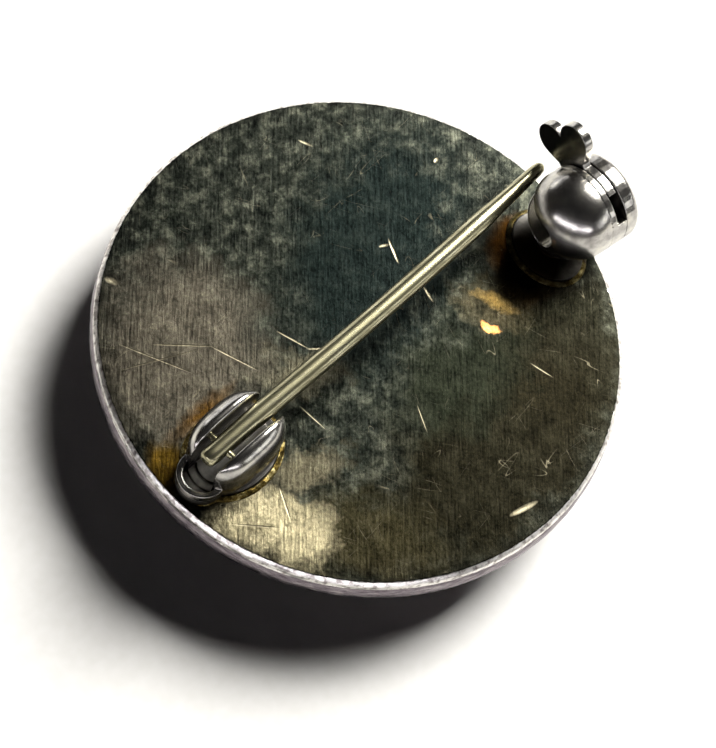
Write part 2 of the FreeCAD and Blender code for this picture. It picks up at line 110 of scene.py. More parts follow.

# %% [markdown]
# ## Tarnished silver sheet
# The disc is sterling sheet, rolled, cut, and rubbed with emery before it was soldered. Years of
# handling left a dark, uneven sulphide film on it. Up close it shows four things, each at its own size:
# clouds of tarnish several millimetres across, a mottle near one millimetre, fine parallel emery lines,
# and the odd bright scratch where something cut through the film. The heat of soldering left straw
# and brown rings beside both fittings. Two patches are painted light: a pale painted reflection beside
# the joint, and a near-black painted shadow and reflection of the catch's ball beside its foot. Each
# patch below is a soft ellipse on the disc. It could be a painted image, but an ellipse stays sharp at
# any zoom and is easy to move.

# %% Patches of tarnish, heat colour and scratches
# Each patch: middle x, y; half length, half width; turn in degrees; strength; colour.
TARNISH_AND_SHEEN = [
    (-8.2, 4.2, 6.0, 5.0, 30, 0.95, "#413d34"),     # thin warm grey film where fingers rub
    (3.2, 3.2, 8.5, 5.2, 35, 1.00, "#0b100f"),      # blue-green film over the middle of the disc
    (7.6, -6.0, 6.5, 5.0, 60, 1.00, "#11100a"),     # brown film round the rim
    (1.4, -8.6, 9.5, 5.4, 15, 1.00, "#100e08"),
    (2.2, -4.4, 5.0, 3.2, 0, 0.80, "#13150f"),
    (-6.6, -8.4, 4.2, 3.0, -40, 0.80, "#221f14"),   # olive film
    (-9.9, -5.3, 3.6, 2.1, -52, 1.00, "#857d63"),   # painted reflection: a pale sheen beside the joint
    (-6.6, -4.0, 2.8, 1.3, -20, 0.75, "#474335"),
    (-4.2, 0.2, 2.8, 1.3, -35, 0.60, "#3f3c30"),
    (6.2, -2.3, 2.6, 1.4, -50, 0.60, "#302c20"),
]
HEAT_COLOUR_AND_SHADOW = [
    (-12.0, -0.3, 1.5, 1.2, 60, 0.75, "#43330f"),  # straw and brown round the joint's foot
    (-9.0, 1.0, 2.6, 0.6, 8, 0.45, "#3c2a10"),
    (9.3, -0.6, 2.0, 1.5, 30, 0.90, "#2f1c04"),    # the same round the catch's foot
    (8.2, -2.6, 1.7, 1.3, -30, 0.60, "#2a2110"),
    (8.9, -2.1, 1.5, 1.9, 0, 1.00, "#020201"),     # painted shadow and reflection of the catch's ball on the disc
    (5.3, -3.2, 0.62, 0.24, -72, 0.90, "#b07c46"),  # a drop of spilt solder, rubbed bright
    (6.4, -2.4, 1.4, 0.50, -60, 0.55, "#6b5830"),
]
# Each scratch: middle x, y; half length, half width; turn in degrees; strength.
SCRATCHES = [
    (-7.7, 4.2, 1.55, 0.06, -36, 0.8), (-6.1, 2.3, 1.35, 0.055, -64, 0.8),
    (-9.2, 4.4, 2.0, 0.045, -58, 0.7), (-9.0, 4.2, 2.1, 0.045, -18, 0.7),
    (-3.2, 1.5, 0.95, 0.06, -66, 0.9), (-2.4, 0.4, 0.70, 0.08, -34, 0.9),
    (3.9, 2.5, 0.75, 0.09, -108, 1.0), (3.7, 3.0, 0.30, 0.10, -20, 0.9),
    (3.85, -0.3, 0.50, 0.09, -98, 0.9), (9.0, 5.3, 0.20, 0.12, 20, 0.9),
    (4.0, 9.7, 0.42, 0.09, -60, 0.9), (0.5, -11.5, 0.85, 0.16, -8, 0.8),
    (-8.5, 8.8, 0.42, 0.20, -60, 0.6), (-4.9, -2.2, 0.9, 0.05, -80, 0.7),
    (-0.6, -5.2, 0.8, 0.04, -110, 0.6), (-10.4, -4.9, 1.2, 0.05, -40, 0.9),
    (-8.6, -4.8, 0.9, 0.05, 70, 0.9), (5.9, -6.6, 0.7, 0.05, -70, 0.6),
]


def patch(tree, place, x, y, half_long, half_wide, turn, half_tall=5.0):
    """A soft ellipse, 1 in its middle and 0 at its edge."""
    local = add(tree, "ShaderNodeMapping",
                {"Vector": place, "Location": (x, y, 0), "Rotation": (0, 0, math.radians(turn)),
                 "Scale": (half_long, half_wide, half_tall)}, vector_type="TEXTURE")
    ball = add(tree, "ShaderNodeTexGradient", {"Vector": local.outputs[0]}, gradient_type="SPHERICAL")
    return ball.outputs["Fac"]


print(len(TARNISH_AND_SHEEN), "patches,", len(HEAT_COLOUR_AND_SHADOW), "heat marks,", len(SCRATCHES), "scratches")

# %% [markdown]
# ## Outlines that wander
# A stain has no clean outline, and an ellipse has. So the place that a patch is read from is pushed
# about by a broad noise first: far for the tarnish, less for the heat colour, which stays close to the
# joint that was heated. Moving the place is cheaper than shaping each patch, and one noise serves all.

# %% Start the sheet and push its places about
sheet_silver, tree, place = new_material("tarnished_silver_sheet_emeried")
TARNISH_PULL, HEAT_PULL = 5.0, 1.6     # millimetres that a full swing of the noise moves a place
pull = add(tree, "ShaderNodeTexNoise", {"Vector": place, "Scale": 0.55, "Detail": 6.0, "Roughness": 0.65})
pull = add(tree, "ShaderNodeVectorMath", {0: pull.outputs["Color"], 1: (0.5, 0.5, 0.5)},
           operation="SUBTRACT").outputs[0]
pulled = add(tree, "ShaderNodeVectorMath", {0: pull, 1: (TARNISH_PULL, TARNISH_PULL, 0.0), 2: place},
             operation="MULTIPLY_ADD").outputs[0]
nudged = add(tree, "ShaderNodeVectorMath", {0: pull, 1: (HEAT_PULL, HEAT_PULL, 0.0), 2: place},
             operation="MULTIPLY_ADD").outputs[0]
print("places pushed by up to", TARNISH_PULL / 2, "and", HEAT_PULL / 2, "mm")

# %% [markdown]
# ## The sulphide film
# Silver sulphide is nearly black where it is thick and warm grey where it is thin. A mottle about a
# millimetre across gives the film's own colours. Each patch is then mixed over what lies below it, the
# tarnish first and the heat colours last, so that they stay clear beside the fittings. One tarnish patch
# is a painted reflection, and one heat patch is a painted shadow and reflection of the catch's ball.

# %% Lay the film and the heat colours
MOTTLE = 1.1      # tarnish blotches per millimetre
mottle = add(tree, "ShaderNodeTexNoise", {"Vector": place, "Scale": MOTTLE, "Detail": 9.0,
                                          "Roughness": 0.72}).outputs["Fac"]
film = add(tree, "ShaderNodeValToRGB", {"Fac": mottle},
           stops=[(0.34, "#0d0f0d"), (0.50, "#1a1c18"), (0.66, "#34352d")]).outputs["Color"]
# The list holds tarnish and one pale painted reflection beside the joint.
for x, y, half_long, half_wide, turn, strength, shade in TARNISH_AND_SHEEN:
    ellipse = patch(tree, pulled, x, y, half_long, half_wide, turn)
    share = add(tree, "ShaderNodeMath", {0: ellipse, 1: strength * 2.2}, operation="MULTIPLY",
                use_clamp=True).outputs[0]
    share = add(tree, "ShaderNodeMath", {0: share, 1: 0.92}, operation="MULTIPLY").outputs[0]
    film = add(tree, "ShaderNodeMix", {0: share, 6: film, 7: linear(shade)}, data_type="RGBA").outputs[2]
# The list holds heat colours and one painted shadow and reflection of the catch's ball.
for x, y, half_long, half_wide, turn, strength, shade in HEAT_COLOUR_AND_SHADOW:
    ellipse = patch(tree, nudged, x, y, half_long, half_wide, turn)
    share = add(tree, "ShaderNodeMath", {0: ellipse, 1: strength * 2.6}, operation="MULTIPLY",
                use_clamp=True).outputs[0]
    film = add(tree, "ShaderNodeMix", {0: share, 6: film, 7: linear(shade)}, data_type="RGBA").outputs[2]
print("film laid:", len(tree.nodes), "nodes")

# %% [markdown]
# ## Emery lines and grain
# Emery drawn one way leaves fine parallel lines, and the rolled sheet has a grain of its own. The lines
# are a noise stretched twelve to one along the stroke. A Mapping node in its Texture mode turns before it
# stretches, so the lines keep their direction. Both only brighten or darken the film.

# %% Break the film up with emery lines and grain
GRAIN = 5.0       # grain per millimetre, drawn coarser than emery grit so that it shows
EMERY_TURN = 51   # degrees from +X to the direction that the emery was drawn in
EMERY_LONG, EMERY_WIDE = 2.0, 0.17     # millimetres, wider than a real emery line so that it shows
emery_place = add(tree, "ShaderNodeMapping",
                  {"Vector": place, "Rotation": (0, 0, math.radians(EMERY_TURN)),
                   "Scale": (EMERY_LONG, EMERY_WIDE, 1.0)}, vector_type="TEXTURE").outputs[0]
emery = add(tree, "ShaderNodeTexNoise", {"Vector": emery_place, "Scale": 1.0, "Detail": 4.0,
                                         "Roughness": 0.7}).outputs["Fac"]
grain = add(tree, "ShaderNodeTexNoise", {"Vector": place, "Scale": GRAIN, "Detail": 5.0,
                                         "Roughness": 0.75}).outputs["Fac"]
fleck = add(tree, "ShaderNodeMapRange", {"Value": mottle, "From Min": 0.34, "From Max": 0.66,
                                         "To Min": 0.50, "To Max": 1.70}).outputs[0]
for pattern, darkest, brightest in ((emery, 0.78, 1.24), (grain, 0.62, 1.45)):
    swing = add(tree, "ShaderNodeMapRange", {"Value": pattern, "From Min": 0.3, "From Max": 0.7,
                                             "To Min": darkest, "To Max": brightest}).outputs[0]
    fleck = add(tree, "ShaderNodeMath", {0: fleck, 1: swing}, operation="MULTIPLY").outputs[0]
worn_sheen_and_shadow = add(tree, "ShaderNodeVectorMath", {0: film, "Scale": fleck}, operation="SCALE").outputs[0]
print("an emery line is about", round(EMERY_LONG / EMERY_WIDE), "times as long as wide")

# %% [markdown]
# ## Scratches
# A scratch cuts through the film to bright silver. Hair scratches run everywhere and can't be counted,
# so they are the thin lines where a stretched noise crosses its middle value, and a second noise breaks
# them up. The few deep ones are placed one by one, as very thin patches.

# %% Cut the scratches
HAIR_RUNS = [(12, 3.1), (71, 7.7), (128, 12.4)]    # turn in degrees, and a shift so that no two agree
HAIR_LONG, HAIR_APART, HAIR_WIDTH = 9.0, 1.2, 0.0018
hair = 0.0
for turn, shift in HAIR_RUNS:
    stretched = add(tree, "ShaderNodeMapping",
                    {"Vector": place, "Rotation": (0, 0, math.radians(turn)), "Location": (shift,) * 3,
                     "Scale": (HAIR_LONG, HAIR_APART, HAIR_LONG)}, vector_type="TEXTURE").outputs[0]
    wave = add(tree, "ShaderNodeTexNoise", {"Vector": stretched, "Scale": 1.0, "Detail": 1.0}).outputs["Fac"]
    line = add(tree, "ShaderNodeMath", {0: wave, 1: 0.5, 2: HAIR_WIDTH}, operation="COMPARE").outputs[0]
    hair = add(tree, "ShaderNodeMath", {0: hair, 1: line}, operation="ADD").outputs[0]
broken = add(tree, "ShaderNodeTexNoise", {"Vector": place, "Scale": 0.8, "Detail": 3.0}).outputs["Fac"]
broken = add(tree, "ShaderNodeMapRange", {"Value": broken, "From Min": 0.52, "From Max": 0.66}).outputs[0]
hair = add(tree, "ShaderNodeMath", {0: hair, 1: broken}, operation="MULTIPLY").outputs[0]
cut = add(tree, "ShaderNodeMath", {0: hair, 1: 0.18}, operation="MULTIPLY").outputs[0]
for x, y, half_long, half_wide, turn, strength in SCRATCHES:
    ellipse = patch(tree, place, x, y, half_long, half_wide, turn)
    mark = add(tree, "ShaderNodeMath", {0: ellipse, 1: strength * 1.6}, operation="MULTIPLY",
               use_clamp=True).outputs[0]
    cut = add(tree, "ShaderNodeMath", {0: cut, 1: mark}, operation="MAXIMUM").outputs[0]
shown = add(tree, "ShaderNodeMix", {0: cut, 6: worn_sheen_and_shadow, 7: linear("#9a927a")}, data_type="RGBA").outputs[2]
print(len(HAIR_RUNS), "runs of hair scratches and", len(SCRATCHES), "deep ones")

# %% [markdown]
# ## The sheet's relief and gloss
# The same patterns that colour the sheet also roughen it, so a bright line is a groove as well. They are
# added into one height, with the scratches cut out of it, and a Bump node turns height into slope. Thick
# tarnish is a little duller than thin.

# %% Finish the sheet
SHEET_RELIEF = 0.022   # millimetres of depth for one unit of height
height = add(tree, "ShaderNodeMath", {0: grain, 1: 0.45}, operation="MULTIPLY").outputs[0]
for pattern, weight in ((emery, 0.8), (mottle, 1.1), (cut, -0.9)):
    part = add(tree, "ShaderNodeMath", {0: pattern, 1: weight}, operation="MULTIPLY").outputs[0]
    height = add(tree, "ShaderNodeMath", {0: height, 1: part}, operation="ADD").outputs[0]
relief = add(tree, "ShaderNodeBump", {"Height": height, "Distance": SHEET_RELIEF * MM, "Strength": 1.0})
dull = add(tree, "ShaderNodeMapRange", {"Value": mottle, "From Min": 0.3, "From Max": 0.7,
                                        "To Min": 0.27, "To Max": 0.37}).outputs[0]
surface = add(tree, "ShaderNodeBsdfPrincipled",
              {"Base Color": shown, "Metallic": 1.0, "Roughness": dull,
               "Normal": relief.outputs["Normal"]})
add(tree, "ShaderNodeOutputMaterial", {"Surface": surface.outputs[0]})
print(sheet_silver.name, len(tree.nodes), "nodes")

# %% [markdown]
# ## Burnished silver
# The bezel wall is the same silver, but a steel burnisher was pushed round it to press the metal over
# the stone, so it is smoother and brighter, with a lilac cast of thin tarnish and small flats left by
# the tool. The flats are real in the mesh; the shader adds only the fine streaks that run round it.

# %% Build the burnished silver
burnished_silver, tree, place = new_material("burnished_silver_bezel")
streak = add(tree, "ShaderNodeMapping", {"Vector": place, "Scale": (1.3, 1.3, 9.0)}).outputs[0]
streak = add(tree, "ShaderNodeTexNoise", {"Vector": streak, "Scale": 1.0, "Detail": 6.0,
                                          "Roughness": 0.7}).outputs["Fac"]
lilac = add(tree, "ShaderNodeValToRGB", {"Fac": streak},
            stops=[(0.30, "#453d42"), (0.52, "#7d757a"), (0.72, "#b5adab")]).outputs["Color"]
polish = add(tree, "ShaderNodeMapRange", {"Value": streak, "From Min": 0.3, "From Max": 0.7,
                                          "To Min": 0.20, "To Max": 0.38}).outputs[0]
relief = add(tree, "ShaderNodeBump", {"Height": streak, "Distance": 0.012 * MM, "Strength": 1.0})
surface = add(tree, "ShaderNodeBsdfPrincipled",
              {"Base Color": lilac, "Metallic": 1.0, "Roughness": polish,
               "Normal": relief.outputs["Normal"]})
add(tree, "ShaderNodeOutputMaterial", {"Surface": surface.outputs[0]})
print(burnished_silver.name, len(tree.nodes), "nodes")

# %% [markdown]
# ## Polished silver fittings
# The joint and the catch are stamped and polished before they are sold, so they are the brightest
# pieces. Their colour is painted darker in the corners, where grime and tarnish also sit, which the
# Ambient Occlusion node finds: it is 1 on open surfaces and falls towards 0 in a crevice. It is painted
# darker low down near the disc as well. Both are painted shade.

# %% Build the polished fittings
fitting_silver, tree, place = new_material("polished_silver_fitting")
SHADE_AND_GRIME_REACH = 0.7   # millimetres that painted shade and grime spread out of a corner
cloud = add(tree, "ShaderNodeTexNoise", {"Vector": place, "Scale": 1.6, "Detail": 6.0,
                                         "Roughness": 0.6}).outputs["Fac"]
tint = add(tree, "ShaderNodeValToRGB", {"Fac": cloud},
           stops=[(0.32, "#96938f"), (0.50, "#b3b0ab"), (0.68, "#cfccc0")]).outputs["Color"]
# Painted shade with grime: the colour darkens in corners, where ambient occlusion falls below 1.
openness = add(tree, "ShaderNodeAmbientOcclusion", {"Distance": SHADE_AND_GRIME_REACH * MM}, samples=8)
lit_and_clean = add(tree, "ShaderNodeMapRange", {"Value": openness.outputs["AO"], "From Min": 0.35,
                                         "From Max": 0.85}).outputs[0]
uneven = add(tree, "ShaderNodeMath", {0: cloud, 1: 0.5}, operation="SUBTRACT").outputs[0]
uneven = add(tree, "ShaderNodeMath", {0: uneven, 1: 0.6}, operation="MULTIPLY").outputs[0]
lit_and_clean = add(tree, "ShaderNodeMath", {0: lit_and_clean, 1: uneven}, operation="ADD", use_clamp=True).outputs[0]
# Painted shade: the colour darkens low down, within about 0.75 mm of the disc.
height = add(tree, "ShaderNodeSeparateXYZ", {0: place}).outputs["Z"]
shade_low_down = add(tree, "ShaderNodeMapRange", {"Value": height, "From Min": 0.15, "From Max": 0.75,
                                          "To Min": 0.10}).outputs[0]
lit_and_clean = add(tree, "ShaderNodeMath", {0: lit_and_clean, 1: shade_low_down}, operation="MULTIPLY").outputs[0]
print("grime reaches", SHADE_AND_GRIME_REACH, "mm out of a corner")

# %% [markdown]
# ## Painted shade at the catch
# Under the catch's ball the fitting and the solder below it are painted near black: painted shade of
# the ball. The same place and reach serve both, so the painted shade runs on from one to the other.

# %% Paint shade under the catch's ball and finish the fittings
# Painted shade under the catch's ball, on the fitting here and on the solder below.
BALL_SHADE_AT = (9.0, -1.9, 3.1, 3.1, 0, 1.5)     # middle x, y; half length, half width; turn; half height
ball_shade = patch(tree, place, *BALL_SHADE_AT)
ball_shade = add(tree, "ShaderNodeMapRange", {"Value": ball_shade, "From Min": 0.05, "From Max": 0.5, "To Min": 1.0,
                                        "To Max": 0.0}).outputs[0]
lit_and_clean = add(tree, "ShaderNodeMath", {0: lit_and_clean, 1: ball_shade}, operation="MULTIPLY").outputs[0]
# Painted shade and grime darken the colour towards this near-black brown.
tint = add(tree, "ShaderNodeMix", {0: lit_and_clean, 6: linear("#140f08"), 7: tint}, data_type="RGBA").outputs[2]
fine = add(tree, "ShaderNodeTexNoise", {"Vector": place, "Scale": 7.0, "Detail": 3.0}).outputs["Fac"]
rub = add(tree, "ShaderNodeMapRange", {"Value": lit_and_clean, "To Min": 0.42, "To Max": 0.22}).outputs[0]
relief = add(tree, "ShaderNodeBump", {"Height": fine, "Distance": 0.004 * MM, "Strength": 1.0})
surface = add(tree, "ShaderNodeBsdfPrincipled",
              {"Base Color": tint, "Metallic": 1.0, "Roughness": rub,
               "Normal": relief.outputs["Normal"]})
add(tree, "ShaderNodeOutputMaterial", {"Surface": surface.outputs[0]})
print(fitting_silver.name, len(tree.nodes), "nodes")

# %% [markdown]
# ## Drawn nickel silver wire
# The pin is hard nickel-silver wire: yellower and slightly greener than silver, and springy enough for
# a pin. Drawing it through a die leaves fine lines along its length. The streaks are a noise stretched
# twelve to one along the wire, which lies close to the X axis.

# %% Build the nickel silver
nickel_silver, tree, place = new_material("drawn_nickel_silver_wire")
drawn = add(tree, "ShaderNodeMapping", {"Vector": place, "Rotation": (0, 0, math.radians(-7.5)),
                                        "Scale": (0.5, 6.0, 6.0)}).outputs[0]
drawn = add(tree, "ShaderNodeTexNoise", {"Vector": drawn, "Scale": 1.0, "Detail": 5.0,
                                         "Roughness": 0.65}).outputs["Fac"]
brass = add(tree, "ShaderNodeValToRGB", {"Fac": drawn},
            stops=[(0.30, "#89846a"), (0.50, "#b0ab8a"), (0.70, "#d6d1b2")]).outputs["Color"]
relief = add(tree, "ShaderNodeBump", {"Height": drawn, "Distance": 0.006 * MM, "Strength": 1.0})
sheen = add(tree, "ShaderNodeMapRange", {"Value": drawn, "From Min": 0.3, "From Max": 0.7,
                                         "To Min": 0.34, "To Max": 0.22}).outputs[0]
surface = add(tree, "ShaderNodeBsdfPrincipled",
              {"Base Color": brass, "Metallic": 1.0, "Roughness": sheen,
               "Normal": relief.outputs["Normal"]})
add(tree, "ShaderNodeOutputMaterial", {"Surface": surface.outputs[0]})
print(nickel_silver.name, len(tree.nodes), "nodes")

# %% [markdown]
# ## Flowed silver solder
# Hard solder runs round each foot, wets the sheet and freezes in a low, lumpy pool. It is yellower than
# silver, and burnt flux keeps it dull and brown in patches. Under the catch's ball it is painted near
# black: painted shade of the ball.

# %% Build the solder
flowed_solder, tree, place = new_material("flowed_silver_solder")
lump = add(tree, "ShaderNodeTexNoise", {"Vector": place, "Scale": 2.4, "Detail": 6.0,
                                        "Roughness": 0.7}).outputs["Fac"]
scorched_and_shaded = add(tree, "ShaderNodeValToRGB", {"Fac": lump},
               stops=[(0.34, "#17110a"), (0.48, "#5f5026"), (0.62, "#a89c6c")]).outputs["Color"]
relief = add(tree, "ShaderNodeBump", {"Height": lump, "Distance": 0.06 * MM, "Strength": 1.0})
# Painted shade under the catch's ball, the same as on the fitting.
ball_shade = patch(tree, place, *BALL_SHADE_AT)
ball_shade = add(tree, "ShaderNodeMapRange", {"Value": ball_shade, "From Max": 0.35, "To Max": 0.9}).outputs[0]
scorched_and_shaded = add(tree, "ShaderNodeMix", {0: ball_shade, 6: scorched_and_shaded, 7: linear("#0d0904")}, data_type="RGBA").outputs[2]
surface = add(tree, "ShaderNodeBsdfPrincipled",
              {"Base Color": scorched_and_shaded, "Metallic": 1.0, "Roughness": 0.36,
               "Normal": relief.outputs["Normal"]})
add(tree, "ShaderNodeOutputMaterial", {"Surface": surface.outputs[0]})
print(flowed_solder.name, len(tree.nodes), "nodes")

# %% [markdown]
# ## Polished onyx
# Onyx is a black chalcedony, a stone and not a metal: its colour is nearly black, its gloss comes from
# a refractive index of about 1.54, and faint bands run through it. They are a wave bent by a noise.

# %% Build the onyx
onyx, tree, place = new_material("polished_black_onyx")
BAND_EVERY = 1.8    # millimetres from one faint band to the next
bands = add(tree, "ShaderNodeTexWave", {"Vector": place, "Scale": 1 / (BAND_EVERY * 3.2),
                                        "Distortion": 3.5, "Detail": 4.0}).outputs["Fac"]
black = add(tree, "ShaderNodeValToRGB", {"Fac": bands},
            stops=[(0.0, "#060607"), (0.82, "#0b0b0d"), (1.0, "#1b1a1c")]).outputs["Color"]
fine = add(tree, "ShaderNodeTexNoise", {"Vector": place, "Scale": 3.0, "Detail": 6.0}).outputs["Fac"]
polish = add(tree, "ShaderNodeMapRange", {"Value": fine, "To Min": 0.05, "To Max": 0.13}).outputs[0]
surface = add(tree, "ShaderNodeBsdfPrincipled",
              {"Base Color": black, "Roughness": polish, "IOR": 1.54})
add(tree, "ShaderNodeOutputMaterial", {"Surface": surface.outputs[0]})
print(onyx.name, len(tree.nodes), "nodes")

# %% [markdown]
# ## Grey card
# The card packs the stone against the disc. It is pressed paper pulp, rough and pale grey, with next to
# no gloss, only the lumps of its fibres.

# %% Build the card
card, tree, place = new_material("pressed_grey_card")
FIBRE = 4.0         # pulp fibres per millimetre
pulp = add(tree, "ShaderNodeTexNoise", {"Vector": place, "Scale": FIBRE, "Detail": 8.0,
                                        "Roughness": 0.8}).outputs["Fac"]
grey = add(tree, "ShaderNodeValToRGB", {"Fac": pulp}, stops=[(0.35, "#8a8276"), (0.65, "#b4ac9e")])
relief = add(tree, "ShaderNodeBump", {"Height": pulp, "Distance": 0.02 * MM, "Strength": 1.0})
surface = add(tree, "ShaderNodeBsdfPrincipled",
              {"Base Color": grey.outputs["Color"], "Roughness": 0.9,
               "Normal": relief.outputs["Normal"]})
add(tree, "ShaderNodeOutputMaterial", {"Surface": surface.outputs[0]})
print(card.name, len(tree.nodes), "nodes")

# %% [markdown]
# ## Turning a round piece from its outline
# The disc, the bezel and the stone are all round about the Z axis. Each is made like a piece on a
# lathe: half of its section is drawn in millimetres, its corners are eased, and the section is turned
# through a full circle. An eased corner is what catches a thin bright line on the real metal.

# %% A lathe
TURNS = 480         # steps in a full circle, about 0.16 mm each at the rim


def eased(outline, radius, steps=4):
    """The outline with each corner between its two ends replaced by a small arc."""
    points = [Vector(p) for p in outline]
    made = [points[0]]
    for before, corner, after in zip(points, points[1:], points[2:]):
        reach = min(radius, (before - corner).length * 0.45, (after - corner).length * 0.45)
        start = corner + (before - corner).normalized() * reach
        end = corner + (after - corner).normalized() * reach
        for i in range(steps + 1):
            t = i / steps
            made.append(start * (1 - t) ** 2 + corner * 2 * t * (1 - t) + end * t * t)
    return made + [points[-1]]


def mesh_data(mesh, name):
    """A finished bmesh as mesh data, with its faces pointing outwards."""
    bmesh.ops.recalc_face_normals(mesh, faces=mesh.faces)
    data = bpy.data.meshes.new(name)
    mesh.to_mesh(data)
    mesh.free()
    return data


def placed(name, data):
    """An object in the scene that shows some mesh data."""
    piece = bpy.data.objects.new(name, data)
    bpy.context.scene.collection.objects.link(piece)
    return piece


# %% Turn an outline and put it in its place
def turned(name, outline, closed=False):
    """A smooth piece turned about Z from (radius, height) points in mm.

    An open outline starts and ends on the axis, and a closed one never touches it."""
    mesh = bmesh.new()
    rings = []
    for radius, height in outline:
        if radius < 1e-6:
            rings.append([mesh.verts.new((0, 0, height * MM))] * TURNS)
        else:
            rings.append([mesh.verts.new((radius * MM * math.cos(math.tau * i / TURNS),
                                          radius * MM * math.sin(math.tau * i / TURNS), height * MM))
                          for i in range(TURNS)])
    pairs = list(zip(rings, rings[1:] + rings[:1])) if closed else list(zip(rings, rings[1:]))
    for upper, lower in pairs:
        for i in range(TURNS):
            corners = [upper[i], lower[i], lower[(i + 1) % TURNS], upper[(i + 1) % TURNS]]
            face = mesh.faces.new(list(dict.fromkeys(corners)))
            face.smooth = True
    return placed(name, mesh_data(mesh, name))


def fit(piece, node, body, material):
    """Puts a finished piece in a CAD node's place."""
    piece.data.materials.clear()
    piece.data.materials.append(material)
    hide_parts(node)
    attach(piece, body)
    print(piece.name, len(piece.data.vertices), "vertices")

print("lathe ready:", TURNS, "steps in a turn")

# %% [markdown]
# ## The disc and its filed edge
# After the disc was soldered in, its rim was filed to a narrow bevel and left. The file skips, so the
# bevel's two edges wander by a few hundredths of a millimetre. The lathe gives the true bevel. A
# noise read along the rim then moves only the points near it.

# %% Turn the disc
low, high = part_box("back_plate")
RIM_SPREAD = 0.42   # the rim is burnished a little outwards over the wall
PLATE_RADIUS, PLATE_LOW = high.x / MM + RIM_SPREAD, low.z / MM
BEVEL = 0.20
FILE_MARK = 0.30    # millimetres from one file mark to the next
FILE_DEPTH = 0.035  # millimetres
back_face = [(PLATE_RADIUS * share, 0.0) for share in (0.0, 0.3, 0.6, 0.9)]
edge = [(PLATE_RADIUS - BEVEL, 0.0), (PLATE_RADIUS, -BEVEL), (PLATE_RADIUS, PLATE_LOW)]
plate = turned("silver_disc", eased(back_face + edge + [(0.0, PLATE_LOW)], 0.05))
for vertex in plate.data.vertices:
    radius = math.hypot(vertex.co.x, vertex.co.y) / MM
    if radius > PLATE_RADIUS - 1.6 * BEVEL and vertex.co.z / MM > PLATE_LOW + 0.05:
        along = math.atan2(vertex.co.y, vertex.co.x) * PLATE_RADIUS / FILE_MARK
        mark = noise.noise(Vector((along, vertex.co.z / MM * 6, 3.0)))
        mark += 0.8 * noise.noise(Vector((along * 0.13, 0.0, 9.0)))
        shrink = 1 - FILE_DEPTH * max(0.0, 0.5 + mark) / PLATE_RADIUS
        vertex.co.x *= shrink
        vertex.co.y *= shrink
        vertex.co.z -= 0.35 * FILE_DEPTH * MM * max(0.0, mark)
print("disc radius in mm:", round(PLATE_RADIUS, 2))

# %% [markdown]
# ## Filed silver
# A file cuts through the tarnish, so the bevel is the one place on the disc that is bare, pale silver.
# Its tool marks are short ridges across the rim, as far apart as the file's skips. The disc keeps one
# mesh: only the faces out at the rim are given this second material.

# %% Build the filed bevel and fit the disc
filed_silver, tree, place = new_material("filed_silver_bevel")
chatter = add(tree, "ShaderNodeTexNoise", {"Vector": place, "Scale": 1 / FILE_MARK,
                                           "Detail": 4.0}).outputs["Fac"]
bright = add(tree, "ShaderNodeValToRGB", {"Fac": chatter},
             stops=[(0.36, "#a39c98"), (0.50, "#ece8e2"), (0.70, "#fbf8f4")]).outputs["Color"]
relief = add(tree, "ShaderNodeBump", {"Height": chatter, "Distance": 0.01 * MM, "Strength": 1.0})
surface = add(tree, "ShaderNodeBsdfPrincipled",
              {"Base Color": bright, "Metallic": 1.0, "Roughness": 0.30,
               "Normal": relief.outputs["Normal"]})
add(tree, "ShaderNodeOutputMaterial", {"Surface": surface.outputs[0]})
fit(plate, "back_plate", "root", sheet_silver)
plate.data.materials.append(filed_silver)
for face in plate.data.polygons:
    if math.hypot(face.center.x, face.center.y) / MM > PLATE_RADIUS - BEVEL - 0.02:
        face.material_index = 1

# %% [markdown]
# ## The bezel
# The wall is soldered under the disc, flares out to its widest line and is then pushed in over the
# stone. The small gap left under the disc's rim keeps dirt and reads as a dark seam. The burnisher
# leaves shallow flats, made here with a slow noise on the wall.

# %% Turn the bezel
low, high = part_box("bezel")
WIDEST, LIP_LOW = high.x / MM, low.z / MM
# Each point: radius and height. The outer side from the seam down to the lip, then back up the inside.
wall = [(12.02, PLATE_LOW - 0.02), (12.72, PLATE_LOW - 0.02), (12.86, PLATE_LOW - 0.12),
        (12.97, -0.84), (13.02, -1.02), (WIDEST, -1.25), (12.98, -1.50), (12.74, -1.76),
        (12.35, -1.93), (11.85, LIP_LOW), (11.62, -1.93), (11.62, -1.82), (12.15, -1.62),
        (12.62, -1.44), (12.66, -1.20), (12.20, -0.70)]
FLAT_DEPTH = 0.03       # millimetres that the burnisher's flats are pressed in
bezel = turned("bezel_wall", eased(wall + wall[:1], 0.12)[:-1], closed=True)
for vertex in bezel.data.vertices:
    flat = noise.noise(Vector((math.atan2(vertex.co.y, vertex.co.x) * 9.0, vertex.co.z / MM, 1.0)))
    shrink = 1 - FLAT_DEPTH * max(0.0, 0.3 + flat) / WIDEST
    vertex.co.x *= shrink
    vertex.co.y *= shrink
fit(bezel, "bezel", "root", burnished_silver)

# %% [markdown]
# ## The cabochon
# The stone's face is a dome ground from one sphere, so its section is an arc. It ends in the small flat
# on its top that the lap left. Two points of the dome fix the sphere.

